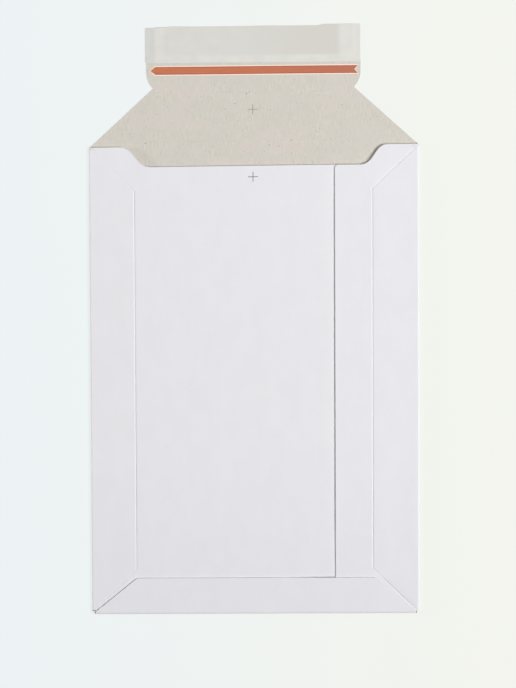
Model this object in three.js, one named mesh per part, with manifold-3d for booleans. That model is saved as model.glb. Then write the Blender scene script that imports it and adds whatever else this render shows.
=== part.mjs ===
// A flat card mailer lying open on its back panel. One creased blank is folded into a
// pocket: a wide left wing, a narrow right wing glued over it, and a bottom flap glued over
// both. The closing flap lies open and carries a tear tape and a covered adhesive strip.
// Millimetres, +Z up, +Y towards the closing flap, origin under the back panel's middle.
import * as THREE from 'three';
import { mergeVertices } from 'three/addons/utils/BufferGeometryUtils.js';
import Module from 'manifold-3d';

const wasm = await Module();
wasm.setup();

// Card and the layers it makes
const board = 0.6;
const pocketGap = 1.0;
const lapGap = 0.1;
const glueBite = 0.05;

// Pocket, measured on the outside
const packWidth = 175;
const packLength = 250;
const rightWingWidth = 44.4;
const lapWidth = 19.5;
const freeEdge = 4.5;
const glueWidth = 10;
const riseLength = 20;
const wingFootGap = 0.1;

// Mouth of the pocket
const mouthDepth = 10.7;
const mouthShoulder = 16.1;
const mouthCurveLeft = 8;
const mouthTurnLeft = 50;
const mouthCurveRight = 7;
const mouthTurnRight = 55;
const seamCornerRadius = 2;

// Bottom flap
const bottomFlapHeight = 19.4;
const bottomFoldInset = 1.3;
const bottomTaperLeft = 22.9;
const bottomTaperRight = 21.4;
const bottomCornerRadius = 1;
const stepRun = 1.3;

// Scores pressed into the outside, as bands along the sides and mitres to the corners
const scoreWidth = 1.1;
const scoreDepth = 0.2;
const leftBand = 23.9;
const rightBand = 24.6;
const mitreLengthTop = 23.2;
const mitreLengthBottom = 24.4;

// Closing flap
const creaseFromMouth = 1.8;
const creaseGap = 0.3;
const secondScoreFromCrease = 25.6;
const neckFromMouth = 30.6;
const neckInset = 3.5;
const lipWidth = 113.8;
const lipHeight = 32.4;
const lipBulgeRadius = 12;
const lipStraight = 5.6;
const lipChamferRise = 4.3;
const lipTopInset = 4.4;
const lipCornerRadius = 1.2;

// Strips on the closing flap
const tapeWidth = 4.1;
const tapeAboveNeck = 9.8;
const tapeEndGap = 1.7;
const tapeShift = 0.6;
const tapeThick = 0.1;
const tapeNotch = 1.2;
const linerWidth = 19.7;
const linerSideOver = 0.15;
const linerTopOver = 0.6;
const linerShift = -0.35;
const linerThick = 0.1;
const linerCornerRadius = 0.8;
const adhesiveThick = 0.15;
const adhesiveEndGap = 11.2;
const adhesiveLowGap = 4.0;
const adhesiveTopGap = 1.5;

// Levels of the layers above the table
const wingUnder = board + pocketGap;
const wingTop = wingUnder + board;
const lapUnder = wingTop + lapGap;
const lapTop = lapUnder + board;
const aboveAll = lapTop + 4 * board;
const pocketMiddle = board + pocketGap / 2;

// Places in plan
const sideX = packWidth / 2;
const mouthY = packLength / 2;
const footY = -packLength / 2;
const foldOuter = wingTop / 2;
const foldInner = foldOuter - board;
const flatX = sideX - foldOuter;
const seamX = sideX - rightWingWidth;
const leftWingEnd = seamX + lapWidth;
const riseStart = leftWingEnd + board;
const wingFootY = footY + (lapTop + board) / 2 + wingFootGap;
const recessY = mouthY - mouthDepth;
const shoulderX = sideX - mouthShoulder;
const creaseY = mouthY + creaseFromMouth;
const panelEndY = creaseY - creaseGap / 2;
const neckX = lipWidth / 2 - neckInset;
const neckY = mouthY + neckFromMouth;
const lipTopY = neckY + lipHeight;
const linerLength = lipWidth + 2 * linerSideOver;
const linerLow = lipTopY + linerTopOver - linerWidth;
const margin = 5;
const arcSteps = 8;

const smooth = (t) => {
  const s = Math.min(Math.max(t, 0), 1);
  return s * s * (3 - 2 * s);
};

// Share of the lap's height that the right wing has lost on its way to its side fold
const fallAt = (x) => smooth((x - riseStart) / riseLength);

const wingTopAt = (x) => {
  if (x < seamX) return wingTop;
  return lapTop - (lapTop - wingTop) * fallAt(x);
};

// Points of an arc, both ends included, angles in degrees
function arc(cx, cy, radius, from, to, steps = arcSteps) {
  const points = [];
  for (let i = 0; i <= steps; i += 1) {
    const angle = THREE.MathUtils.degToRad(from + ((to - from) * i) / steps);
    points.push(new THREE.Vector2(cx + radius * Math.cos(angle), cy + radius * Math.sin(angle)));
  }
  return points;
}

const at = (x, y) => new THREE.Vector2(x, y);

function solid(geometry) {
  const bare = geometry.clone();
  bare.deleteAttribute('normal');
  bare.deleteAttribute('uv');
  const merged = mergeVertices(bare, 1e-5);
  return new wasm.Manifold(new wasm.Mesh({
    numProp: 3,
    vertProperties: new Float32Array(merged.attributes.position.array),
    triVerts: new Uint32Array(merged.index.array),
  }));
}

function geometryOf(manifold) {
  const mesh = manifold.getMesh();
  const geometry = new THREE.BufferGeometry();
  geometry.setAttribute('position', new THREE.BufferAttribute(mesh.vertProperties, 3));
  geometry.setIndex(new THREE.BufferAttribute(mesh.triVerts, 1));
  geometry.computeVertexNormals();
  return geometry;
}

// A flat outline in plan raised from one level to another
function prism(points, low, high) {
  const geometry = new THREE.ExtrudeGeometry(new THREE.Shape(points), {
    depth: high - low,
    bevelEnabled: false,
  });
  geometry.translate(0, 0, low);
  return geometry;
}

// Rings of equally many points joined into one closed body, with flat ends. Each ring runs
// anticlockwise in the plane that flatten gives, seen against the way the rings follow on.
function loft(rings, flatten) {
  const count = rings[0].length;
  const index = [];
  for (let i = 0; i + 1 < rings.length; i += 1) {
    for (let j = 0; j < count; j += 1) {
      const k = (j + 1) % count;
      const a = i * count + j;
      const b = i * count + k;
      index.push(a, b, a + count, b, b + count, a + count);
    }
  }
  const last = (rings.length - 1) * count;
  for (const [a, b, c] of THREE.ShapeUtils.triangulateShape(rings[0].map(flatten), [])) {
    index.push(a, c, b, last + a, last + b, last + c);
  }
  const geometry = new THREE.BufferGeometry();
  const places = new Float32Array(rings.flat().flatMap((p) => [p.x, p.y, p.z]));
  geometry.setAttribute('position', new THREE.BufferAttribute(places, 3));
  geometry.setIndex(index);
  return geometry;
}

// The pocket's section seen from the foot, with its inside as a hole: x to the right, z up
function sleeveOutline() {
  const steps = 6;
  const rise = [];
  for (let i = 0; i <= steps; i += 1) {
    rise.push(riseStart + (riseLength * i) / steps);
  }
  const outer = [
    at(seamX, lapUnder),
    at(seamX, lapTop),
    ...rise.map((x) => at(x, wingTopAt(x))),
    ...arc(flatX, foldOuter, foldOuter, 90, -90),
    ...arc(-flatX, foldOuter, foldOuter, 270, 90),
    at(seamX + freeEdge, wingTop),
    at(seamX + freeEdge, lapUnder),
  ];
  const glueEnd = Math.min(seamX + freeEdge + glueWidth, leftWingEnd - board);
  const inner = [
    at(leftWingEnd, wingUnder),
    ...arc(-flatX, foldOuter, foldInner, 90, 270),
    ...arc(flatX, foldOuter, foldInner, -90, 90),
    ...rise.reverse().map((x) => at(x, wingTopAt(x) - board)),
    at(glueEnd, lapUnder),
    at(glueEnd, wingTop),
    at(leftWingEnd, wingTop),
  ];
  const shape = new THREE.Shape(outer);
  shape.holes.push(new THREE.Path(inner));
  return shape;
}

// Back panel, both wings and their side folds, full length, before the mouth is cut
function sleeve() {
  const geometry = new THREE.ExtrudeGeometry(sleeveOutline(), {
    depth: panelEndY - wingFootY,
    bevelEnabled: false,
  });
  geometry.rotateX(Math.PI / 2);
  geometry.translate(0, panelEndY, 0);
  return solid(geometry);
}

// One end of the mouth, from its straight recess out to the wing's corner: turn is its steepest
// slope in degrees
function mouthCurve(side, radius, turn) {
  const lean = THREE.MathUtils.degToRad(turn);
  const r = Math.min(radius, (0.95 * mouthDepth) / (2 * (1 - Math.cos(lean))));
  const straight = (mouthDepth - 2 * r * (1 - Math.cos(lean))) / Math.sin(lean);
  const run = 2 * r * Math.sin(lean) + straight * Math.cos(lean);
  const points = [
    ...arc(shoulderX - run, recessY + r, r, -90, turn - 90),
    ...arc(shoulderX, mouthY - r, r, 90 + turn, 90),
  ];
  return points.map((p) => at(side * p.x, p.y));
}

// What is cut away over the back panel so that the mouth is open
function mouthCut() {
  const beyond = panelEndY + margin;
  const plan = [
    ...mouthCurve(-1, mouthCurveLeft, mouthTurnLeft).reverse(),
    ...mouthCurve(1, mouthCurveRight, mouthTurnRight),
    at(shoulderX, beyond),
    at(-shoulderX, beyond),
  ];
  const past = [
    at(-sideX - margin, mouthY),
    at(sideX + margin, mouthY),
    at(sideX + margin, beyond),
    at(-sideX - margin, beyond),
  ];
  const r = seamCornerRadius;
  const corner = [
    at(seamX - margin, recessY - r),
    ...arc(seamX + r, recessY - r, r, 180, 90),
    at(seamX + r, recessY + margin),
    at(seamX - margin, recessY + margin),
  ];
  return solid(prism(plan, pocketMiddle, aboveAll))
    .add(solid(prism(past, board, aboveAll)))
    .add(solid(prism(corner, (wingTop + lapUnder) / 2, aboveAll)));
}

// The slanted side of the closing flap, as half its width at a place along the part
const flapSideAt = (y) => sideX - ((sideX - neckX) * (y - mouthY)) / neckFromMouth;

// What is cut off beside the back panel between the mouth's corners and the crease
function shoulderCut(side) {
  const beyond = panelEndY + margin;
  const plan = [
    at(side * flapSideAt(mouthY), mouthY),
    at(side * flapSideAt(beyond), beyond),
    at(side * (sideX + margin), beyond),
    at(side * (sideX + margin), mouthY),
  ];
  return solid(prism(side > 0 ? plan.reverse() : plan, -margin, aboveAll));
}

// The bottom flap's section at one place across the part, from under the panel round to its edge
function bottomRing(x) {
  const stepUp = smooth((x - seamX + stepRun) / (stepRun + glueBite));
  const top = wingTop + board - glueBite + (lapTop - wingTop) * (stepUp - fallAt(x));
  const bend = top / 2;
  const bendY = footY + bend;
  const legY = wingFootY + 2 * board;
  const edgeY = footY + bottomFlapHeight;
  const fillY = wingFootY + board;
  const onto = x > seamX + glueBite ? wingTopAt(x) : wingTop;
  const under = onto - 2 * glueBite;
  const ring = [
    at(legY, 0),
    ...arc(bendY, bend, bend, 270, 90),
    at(edgeY, top),
    at(edgeY, under),
    at(fillY, under),
    at(fillY, top - board),
    ...arc(bendY, bend, bend - board, 90, 270),
    at(legY, board),
  ];
  return ring.reverse().map((p) => new THREE.Vector3(x, p.x, p.y));
}

// What is cut off one slanted side of the bottom flap, above its fold
function bottomSideCut(side, taper) {
  const halfFold = sideX - bottomFoldInset;
  const edgeY = footY + bottomFlapHeight;
  const slant = THREE.MathUtils.radToDeg(Math.atan2(bottomFlapHeight, taper));
  const r = bottomCornerRadius;
  const reach = r * Math.tan(THREE.MathUtils.degToRad(slant / 2));
  const plan = [
    at(halfFold, footY - margin),
    at(sideX + margin, footY - margin),
    at(sideX + margin, edgeY + margin),
    at(halfFold - taper - reach, edgeY + margin),
    ...arc(halfFold - taper - reach, edgeY - r, r, 90, 90 - slant, 3),
    at(halfFold, footY),
  ].map((p) => at(side * p.x, p.y));
  return solid(prism(side > 0 ? plan : plan.reverse(), pocketMiddle, aboveAll + margin));
}

// The bottom flap folded up over the wings, its slanted sides and corners cut
function bottomFlap() {
  const halfFold = sideX - bottomFoldInset;
  const places = [-halfFold];
  for (let i = 0; i <= arcSteps; i += 1) {
    places.push(seamX - stepRun + (stepRun * i) / arcSteps);
  }
  places.push(seamX + glueBite, seamX + 2 * glueBite);
  for (let i = 0; i <= arcSteps; i += 1) {
    places.push(riseStart + (riseLength * i) / arcSteps);
  }
  places.push(halfFold);
  return solid(loft(places.map(bottomRing), (p) => at(p.y, p.z)))
    .subtract(bottomSideCut(-1, bottomTaperLeft))
    .subtract(bottomSideCut(1, bottomTaperRight));
}

// A V groove pressed into a surface along a line in plan
function score(from, to, surfaceAt, steps = 1) {
  const along = to.clone().sub(from);
  const across = at(-along.y, along.x).normalize();
  const lift = board / 2;
  const half = (scoreWidth / 2) * (1 + lift / scoreDepth);
  const rings = [];
  for (let i = 0; i <= steps; i += 1) {
    const p = from.clone().addScaledVector(along, i / steps);
    const z = surfaceAt(p.x);
    rings.push([
      new THREE.Vector3(p.x - across.x * half, p.y - across.y * half, z + lift),
      new THREE.Vector3(p.x, p.y, z - scoreDepth),
      new THREE.Vector3(p.x + across.x * half, p.y + across.y * half, z + lift),
    ]);
  }
  return solid(loft(rings, (p) => at(across.x * p.x + across.y * p.y, p.z)));
}

// The long score beside one side fold and the two mitres from its ends to the corners
function sideScores(side, band) {
  const scoreX = side * (sideX - band);
  const cornerX = side * (flatX - board);
  const reach = Math.abs(cornerX - scoreX);
  const topY = mouthY - mitreLengthTop;
  const bottomY = footY + mitreLengthBottom;
  const mitreTo = (endY, run) => score(
    at(scoreX, endY),
    at(cornerX, endY + (run * reach) / band),
    wingTopAt,
    2 * arcSteps,
  );
  return score(at(scoreX, bottomY), at(scoreX, topY), wingTopAt)
    .add(mitreTo(topY, mitreLengthTop))
    .add(mitreTo(bottomY, -mitreLengthBottom));
}

function envelopeBody() {
  const pocket = sleeve()
    .subtract(mouthCut())
    .subtract(shoulderCut(-1))
    .subtract(shoulderCut(1))
    .subtract(sideScores(-1, leftBand))
    .subtract(sideScores(1, rightBand));
  return pocket.add(bottomFlap());
}

// The closing flap's outline to one side, from the crease up to its top edge
function flapSide(side) {
  const creaseEdge = creaseY + creaseGap / 2;
  const halfLip = lipWidth / 2;
  const halfTop = halfLip - lipTopInset;
  const r = Math.max(lipBulgeRadius, neckInset);
  const start = THREE.MathUtils.radToDeg(Math.acos((r - neckInset) / r));
  const bulgeY = neckY + Math.sqrt(r * r - (r - neckInset) ** 2);
  const chamferY = bulgeY + lipStraight;
  const c = lipCornerRadius;
  const points = [
    at(flapSideAt(creaseEdge), creaseEdge),
    ...arc(halfLip - r, bulgeY, r, -start, 0),
    at(halfLip, chamferY),
    at(halfTop, chamferY + lipChamferRise),
    ...arc(halfTop - c, lipTopY - c, c, 0, 90, 4),
  ];
  return points.map((p) => at(side * p.x, p.y));
}

function closureFlap() {
  const outline = [...flapSide(1), ...flapSide(-1).reverse()];
  const scoreY = creaseY + secondScoreFromCrease;
  const reach = flapSideAt(scoreY) + margin;
  const fold = score(at(-reach, scoreY), at(reach, scoreY), () => board);
  return solid(prism(outline, 0, board)).subtract(fold);
}

// The tape that tears the flap open, pointed at its left end and notched at its right
function tearTape() {
  const middle = neckY + tapeAboveNeck;
  const low = middle - tapeWidth / 2;
  const high = middle + tapeWidth / 2;
  const halfLength = lipWidth / 2 - tapeEndGap;
  const left = tapeShift - halfLength;
  const right = tapeShift + halfLength;
  return prism([
    at(left + tapeNotch, low),
    at(right, low),
    at(right - tapeNotch, middle),
    at(right, high),
    at(left + tapeNotch, high),
    at(left, middle),
  ], board, board + tapeThick);
}

// A strip of paper or glue with rounded corners, centred across the flap
function strip(low, width, length, bottom, thick) {
  const r = linerCornerRadius;
  const right = linerShift + length / 2 - r;
  const left = linerShift - length / 2 + r;
  const high = low + width;
  const steps = 4;
  return prism([
    ...arc(right, low + r, r, -90, 0, steps),
    ...arc(right, high - r, r, 0, 90, steps),
    ...arc(left, high - r, r, 90, 180, steps),
    ...arc(left, low + r, r, 180, 270, steps),
  ], bottom, bottom + thick);
}

function adhesiveStrip() {
  const width = linerWidth - adhesiveLowGap - adhesiveTopGap;
  const length = linerLength - 2 * adhesiveEndGap;
  return strip(linerLow + adhesiveLowGap, width, length, board, adhesiveThick);
}

function releaseLiner() {
  return strip(linerLow, linerWidth, linerLength, board + adhesiveThick, linerThick);
}

function piece(name, geometry, color, roughness) {
  const material = new THREE.MeshStandardMaterial({ color, roughness, metalness: 0 });
  const mesh = new THREE.Mesh(geometry, material);
  mesh.name = name;
  return mesh;
}

const openFlap = new THREE.Group();
openFlap.add(
  piece('closure_flap', geometryOf(closureFlap()), 0xd2cec4, 0.9),
  piece('tear_tape', tearTape(), 0xc5795e, 0.5),
  piece('adhesive_strip', adhesiveStrip(), 0xd0ccc0, 0.6),
  piece('release_liner', releaseLiner(), 0xd9d7d1, 0.55),
);

const mailer = new THREE.Group();
mailer.add(piece('envelope_body', geometryOf(envelopeBody()), 0xe6e5e9, 0.75), openFlap);

export default mailer;
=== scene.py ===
"""A flat card mailer lying open on a pale table, seen from above.

The pocket and the closing flap are two sheets of board, white outside and grey inside, that
meet at the crease. Each is a closed sheet round a grid of points, which also know their place
on the flat blank, so that the materials run on over the folds.
"""
import math

import bpy
import numpy as np
from mathutils import Euler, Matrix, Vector


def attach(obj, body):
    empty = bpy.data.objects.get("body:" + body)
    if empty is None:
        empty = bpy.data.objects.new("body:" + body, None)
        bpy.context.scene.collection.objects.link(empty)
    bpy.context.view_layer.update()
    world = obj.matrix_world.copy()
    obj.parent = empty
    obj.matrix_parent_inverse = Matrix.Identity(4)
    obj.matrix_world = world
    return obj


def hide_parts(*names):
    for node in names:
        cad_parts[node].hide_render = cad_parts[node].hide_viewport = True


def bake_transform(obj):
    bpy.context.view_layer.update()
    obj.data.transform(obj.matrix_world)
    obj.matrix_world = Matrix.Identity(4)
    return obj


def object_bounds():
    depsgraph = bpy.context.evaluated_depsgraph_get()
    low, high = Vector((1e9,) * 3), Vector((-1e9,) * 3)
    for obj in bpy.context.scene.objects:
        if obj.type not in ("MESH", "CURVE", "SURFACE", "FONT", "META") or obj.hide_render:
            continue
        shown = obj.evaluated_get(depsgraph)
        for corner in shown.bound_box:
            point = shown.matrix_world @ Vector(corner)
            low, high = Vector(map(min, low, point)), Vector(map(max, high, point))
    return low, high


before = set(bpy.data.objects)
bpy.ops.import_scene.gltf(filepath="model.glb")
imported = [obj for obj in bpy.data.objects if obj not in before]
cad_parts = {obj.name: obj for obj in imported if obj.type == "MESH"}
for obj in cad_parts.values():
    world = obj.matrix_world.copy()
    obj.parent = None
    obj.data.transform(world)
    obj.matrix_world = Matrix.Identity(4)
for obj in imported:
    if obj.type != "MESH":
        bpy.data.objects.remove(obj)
cad_low, cad_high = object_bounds()

MM = 0.001
IMAGE_HEIGHT = 688

# Board and its levels above the table, in millimetres as every size that names no other unit
BOARD = 0.6
POCKET_GAP = 1.0
LAP_GAP = 0.1
WING_TOP = 2 * BOARD + POCKET_GAP
LAP_TOP = WING_TOP + LAP_GAP + BOARD
GLUE_FILM = 0.02

# Pocket in plan
SIDE_X = cad_high.x / MM
FOOT_Y = cad_low.y / MM
MOUTH_Y = -FOOT_Y
FOLD_RADIUS = WING_TOP / 2
FOLD_POWER = 3.6
FOLD_ARC = math.pi * (FOLD_RADIUS - BOARD / 2)
FLAT_X = SIDE_X - FOLD_RADIUS
SEAM_X = 43.1
SEAM_CORNER = 2.0
LEFT_WING_END = 62.6
RISE_START = LEFT_WING_END + BOARD
RISE_LENGTH = 20.0
WING_FOOT_Y = FOOT_Y + 1.85
WING_FOOT_DROP = 0.5
WING_FOOT_X = 82.0
WING_FOOT_EASE = 4.0
RECESS_Y = MOUTH_Y - 10.7
SHOULDER_X = 71.4
MOUTH_CURVE = {-1: 8.0, 1: 7.0}
MOUTH_TURN = {-1: 50.0, 1: 55.0}

# Bows of the wings: their heights, where the middle's ends, and how softly they start and stop
STRIP_BOW = 0.22
MIDDLE_BOW = 0.1
BOW_X = 63.0
SIDE_EASE = 20.0
FOOT_EASE = 30.0
MOUTH_EASE = 40.0
PAST_MOUTH = 12.0
MOUTH_SINK = 0.4
SINK_REACH = 45.0
SINK_EASE = 35.0

# The right wing's free edge, and the burr along the cut edges
SEAM_CURL = 0.22
CURL_RUN = 7.0
CURL_CLEAR = 4.0
BURR_HEIGHT = 0.07
BURR_PEAK = 0.12
BURR_RUN = 0.5
SLOPE_STEP = 0.2
NO_SEAM = 99.0

# How far the blank is out of square, and the extra fall to the left near the mouth
SKEW = 0.003
MOUTH_FALL = 0.5
FALL_START_Y = 60.0
FALL_EASE = 50.0
FALL_END_Y = 165.0
FALL_FADE = 35.0
FALL_SHIFT = 0.3
FALL_MOST = 1.3

# Bottom flap
FLAP_EDGE_Y = FOOT_Y + 19.4
SLANT_END_X = 87.3
TAPER = {-1: 24.0, 1: 22.5}
FLAP_CORNER = 1.0
STEP_RUN = 26.0

# Scores, and how far the bottom flap is pressed into the wings
PRESS_DEPTH = 0.1
PRESS_RUN = 0.5
SCORE_HALF = 0.6
SCORE_DEPTH = 0.3
TOP_MITRE_FLANKS = {-1: (0.9, 0.35), 1: (1.0, 0.55)}
SCORE_X = {-1: -63.6, 1: 62.9}
SCORE_TOP_Y = MOUTH_Y - 23.2
SCORE_LOW_Y = FOOT_Y + 24.4
MITRE_SLOPE_TOP = {-1: 0.97, 1: 0.943}
MITRE_SLOPE_LOW = {-1: 1.02, 1: 0.992}
MITRE_DEPTH = {-1: 0.13, 1: 0.28}
MITRE_END_X = 85.8
LOW_MITRE_REACH = 20.8

# Closing flap
CREASE_Y = MOUTH_Y + 1.8
SECOND_SCORE_Y = CREASE_Y + 25.6
NECK_Y = MOUTH_Y + 30.6
NECK_X = 53.4
LIP_X = 56.9
LIP_BULGE = 12.0
BULGE_Y = NECK_Y + 8.47
CHAMFER_Y = BULGE_Y + 5.6
CHAMFER_RISE = 4.3
LIP_TOP_X = 52.5
LIP_TOP_Y = NECK_Y + 32.4
LIP_CORNER = 1.2
CREASE_DEPTH = 0.08
TIP_SHARE = 0.5
FLAP_LIFT = 0.06
WAVE_HEIGHT = 0.03
WAVE_EASE = 12.0
BEND_START_Y = MOUTH_Y
BEND_END_Y = MOUTH_Y + 4.4

# Strips on the flap
TAPE_Y = 164.85
TAPE_WIDTH = 5.1
TAPE_CORE = 4.1
TAPE_LEFT = -55.0
TAPE_RIGHT = 55.9
TAPE_POINT = 2.7
TAPE_NOTCH = 1.8
TAPE_THICK = 0.1
TAPE_ROWS = 9
TAPE_COLUMNS = 61
TAPE_SWAY = 0.05
TAPE_SWAY_RUN = 23.0
LINER = {"left": -57.4, "right": 56.7, "low": 168.9, "high": 188.6}
LINER_THICK = 0.1
LINER_CORNER = 0.9
LINER_CELL = 0.9
LINER_EDGE = 2.0
LINER_STEPS = {"left": -1.0, "middle": -0.45, "right": 0.35}
LEFT_STEP = {"x": -44.5, "run": 2.5}
RIGHT_STEP = {"x": 33.0, "run": 5.0}
WRINKLE_REACH = 5.0
WRINKLE = {"lift": 0.1, "wave": 0.08, "fold": 0.16, "fold_half": 1.4, "fold_x": 7.0, "fold_y": 184.0}
GLUE = {"left": -46.2, "right": 45.5, "low": 172.9, "high": 187.1}
GLUE_CORNER = 1.2
GLUE_CELL = 1.4
GLUE_THICK = 0.15
COVER_RUN = 2.4
COVER_GAP = 0.01

# Printed register marks: place in plan and size
FRONT_MARK = (-0.35, 108.5)
FLAP_MARK = (-0.4, 144.2)
MARK_SIZE = 5.3
MARK_LINE = 0.34

# Camera, fitted to the mailer's edges and folds in the photograph: metres and radians
CAMERA_PLACE = (0.0198, 0.0590, 1.0)
CAMERA_TURN = (-0.03960, 0.01774, -0.00423)
FOCAL_PIXELS = 1876.1
SENSOR = 36.0

# Colours as seen on the photograph, sRGB 0 to 255
WHITE_FACE = (232, 231, 235)
# Painted shade: the white face is multiplied by this towards the pocket's foot
FOOT_PAINTED_SHADE = (251, 251, 252)
GREY_FACE = (212, 207, 197)
GREY_COOL = (206, 203, 195)
GREY_WARM = (214, 206, 200)
FLECK_DARK = (158, 150, 138)
FLECK_PALE = (232, 228, 218)
# Dark specks, and the painted shadow spot at the closing flap's right corner
DARK_SPECK_AND_SHADOW = (120, 116, 106)
CUT_EDGE = (244, 239, 231)
TAPE_RED = (190, 109, 76)
# Painted shade: the darker red that the tape turns to towards its right end
TAPE_PAINTED_SHADE = (181, 105, 78)
TAPE_DARK = (165, 82, 62)
TAPE_RIM = (250, 232, 214)
LINER_WHITE = (219, 217, 211)
LINER_DULL = (209, 206, 200)
# Painted shade: the release paper's left end, where it overhangs the lip and tilts away
LINER_TAB_PAINTED_SHADE = (209, 209, 206)
GLUE_CREAM = (214, 208, 190)
PRINT_GREY = (118, 116, 114)
FLOOR_LEFT = (238, 243, 245)
FLOOR_RIGHT = (243, 245, 238)

# Floor: half its side, where its colour turns and where it fades, all in metres
FLOOR_HALF = 3.0
FLOOR_TURN = 0.15
FLOOR_FADE = (0.4, 1.6)

# Floor: cells along a side, level in millimetres, and the share of it that is evenly bright
FLOOR_CELLS = 12
FLOOR_LEVEL = -0.05
FLOOR_EVEN = 0.86

# Specks in the grey board that catch the eye, and one painted shadow spot at the closing flap's right
# corner: place, size and colour
SPECKS_AND_PAINTED_SHADOW = (
    ((-9.9, 148.1), 0.28, FLECK_PALE),
    ((-9.5, 147.5), 0.22, DARK_SPECK_AND_SHADOW),
    ((20.0, 127.7), 0.35, FLECK_DARK),
    ((8.4, 125.3), 0.3, FLECK_DARK),
    ((-3.7, 152.5), 0.3, DARK_SPECK_AND_SHADOW),
    ((47.1, 146.0), 0.25, FLECK_DARK),
    ((-57.6, 127.0), 0.35, FLECK_DARK),
    ((33.8, 130.6), 0.4, FLECK_PALE),
    # Painted shadow: the dark spot on the flap's right corner, beside the side fold's end
    ((86.6, 125.9), 0.55, DARK_SPECK_AND_SHADOW),
)

# From where to where a colour sets in: the painted shade towards the foot, the painted shade towards the
# tape's right end, the dull liner, and the painted shade on the liner's overhanging tab
FOOT_SHADE_Y = (-30.0, -125.0)
TAPE_SHADE_X = (-10.0, 50.0)
LINER_DULL_X = (-30.0, 45.0)
LINER_TAB_SHADE_X = (-51.0, -53.5)

# Index of the upward coordinate
UP = 2


def smooth(t):
    """An S-curve from 0 to 1."""
    s = np.clip(t, 0.0, 1.0)
    return s * s * (3 - 2 * s)


def linear(colour):
    """An sRGB colour from 0 to 255 as linear RGBA."""
    out = []
    for value in colour:
        c = value / 255
        out.append(c / 12.92 if c <= 0.04045 else ((c + 0.055) / 1.055) ** 2.4)
    return (*out, 1.0)


def ripple(place, length, shift=0.0):
    """A wave between -1 and 1. Its length is what one radian takes."""
    return np.sin(place / length + shift)


# Shape of the folded sheet


def lap_lost(x):
    """Share of the lap's height that the right wing has lost on its way to its side fold."""
    return smooth((np.asarray(x, float) - RISE_START) / RISE_LENGTH)


def right_wing_top(x):
    """Level of the right wing's upper face."""
    return LAP_TOP - (LAP_TOP - WING_TOP) * lap_lost(x)


def crown(x, y):
    """How far the wings bow up from their flat level."""
    a = np.abs(x)
    to_fold = FLAT_X - a
    strip = STRIP_BOW * np.clip(to_fold / (FLAT_X - BOW_X), 0, 1) * np.clip((BOW_X - x) / SIDE_EASE, 0, 1)
    middle = MIDDLE_BOW * np.clip(1 - (a / BOW_X) ** 2, 0, 1)
    held = smooth((y - FLAP_EDGE_Y) / FOOT_EASE) * smooth((MOUTH_Y + PAST_MOUTH - y) / MOUTH_EASE)
    sunk = np.clip(to_fold / SIDE_EASE, 0, 1) * smooth((y - MOUTH_Y + SINK_REACH) / SINK_EASE)
    return (strip + middle) * held - MOUTH_SINK * sunk


def seam_curl(x, y):
    """How far the right wing's free edge lifts off the left wing."""
    near = np.clip((SEAM_X + CURL_RUN - x) / CURL_RUN, 0, 1) ** 2
    held = smooth((y - FLAP_EDGE_Y - CURL_CLEAR) / FOOT_EASE) * smooth((MOUTH_Y - y) / MOUTH_EASE)
    return SEAM_CURL * near * held


def score_lines():
    """The long side scores and their mitres: segment (x, y, x, y), depth and width of both flanks."""
    lines = []
    for side, x in SCORE_X.items():
        lines.append(((x, SCORE_LOW_Y, x, SCORE_TOP_Y), SCORE_DEPTH, (SCORE_HALF, SCORE_HALF)))
        reach = MITRE_END_X - abs(x)
        top = (x, SCORE_TOP_Y, side * MITRE_END_X, SCORE_TOP_Y + reach * MITRE_SLOPE_TOP[side])
        low_x = side * (abs(x) + LOW_MITRE_REACH)
        low = (x, SCORE_LOW_Y, low_x, SCORE_LOW_Y - LOW_MITRE_REACH * MITRE_SLOPE_LOW[side])
        lines.append((top, MITRE_DEPTH[side], TOP_MITRE_FLANKS[side]))
        lines.append((low, MITRE_DEPTH[side], (SCORE_HALF, SCORE_HALF)))
    return lines


def distance_to(line, x, y):
    """Distance to a segment, and whether a point lies to the left of its direction."""
    x0, y0, x1, y1 = line
    dx, dy = x1 - x0, y1 - y0
    t = np.clip(((x - x0) * dx + (y - y0) * dy) / (dx * dx + dy * dy), 0, 1)
    left = (y - y0) * dx - (x - x0) * dy > 0
    return np.hypot(x - x0 - t * dx, y - y0 - t * dy), left


def groove(x, y):
    """Depth of the scores pressed into the wings, and of the mark that the bottom flap leaves."""
    depth = np.zeros_like(x)
    for line, deep, (left_half, right_half) in score_lines():
        away, left = distance_to(line, x, y)
        near = np.clip(1 - away / np.where(left, left_half, right_half), 0, 1)
        depth = np.maximum(depth, deep * near)
    under = np.vectorize(bottom_flap_edge)(x) + PRESS_RUN - y
    pressed = smooth(under / PRESS_RUN) * (np.abs(x) < MITRE_END_X)
    return np.maximum(depth, PRESS_DEPTH * pressed)


def mouth_edge(x):
    """The wings' upper edge at a place across the pocket."""
    side = 1 if x > 0 else -1
    turn = math.radians(MOUTH_TURN[side])
    r = MOUTH_CURVE[side]
    depth = MOUTH_Y - RECESS_Y
    straight = (depth - 2 * r * (1 - math.cos(turn))) / math.sin(turn)
    bend = r * math.sin(turn)
    run = 2 * bend + straight * math.cos(turn)
    d = abs(x) - (SHOULDER_X - run)
    if d <= 0:
        return RECESS_Y
    if d < bend:
        return RECESS_Y + r - math.sqrt(r * r - d * d)
    if d < run - bend:
        return RECESS_Y + r * (1 - math.cos(turn)) + (d - bend) * math.tan(turn)
    if d < run:
        return MOUTH_Y - r + math.sqrt(r * r - (run - d) ** 2)
    return MOUTH_Y


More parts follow.
